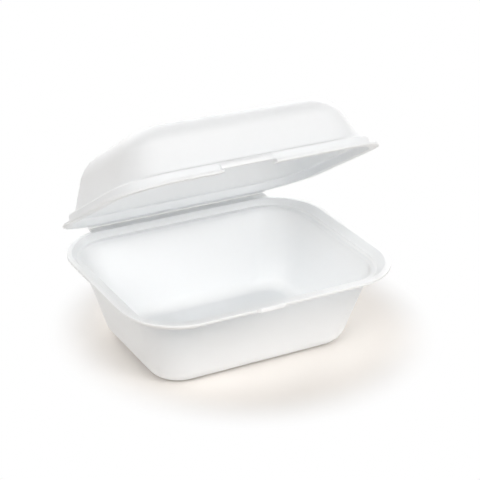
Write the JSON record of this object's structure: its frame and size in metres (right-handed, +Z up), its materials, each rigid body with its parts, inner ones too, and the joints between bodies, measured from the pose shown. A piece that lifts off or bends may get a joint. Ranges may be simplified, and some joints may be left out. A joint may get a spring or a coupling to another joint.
{
  "type": "hinged foam food container",
  "caption": "White foam food box with a stepped tray, a domed lid on a creased hinge strip and a tongue lock at the front, standing half open.",
  "frame": {"origin": "on the tray's underside, below the middle of its rim", "axes": "+X along the hinge, +Y towards the hinge, +Z up out of the tray"},
  "size_m": [0.18, 0.1468, 0.1526],
  "materials": {
    "foam": "smooth white foam skin with a soft satin sheen"
  },
  "bodies": {
    "tray": {"base_tray": "foam"},
    "lid": {"lid": "foam"}
  },
  "joints": [
    {"name": "lid_hinge", "type": "hinge", "parent": "tray", "child": "lid", "pos_m": [0, 0.074, 0.05615], "axis": [-1, 0, 0], "range_deg": [-33, 147]}
  ]
}
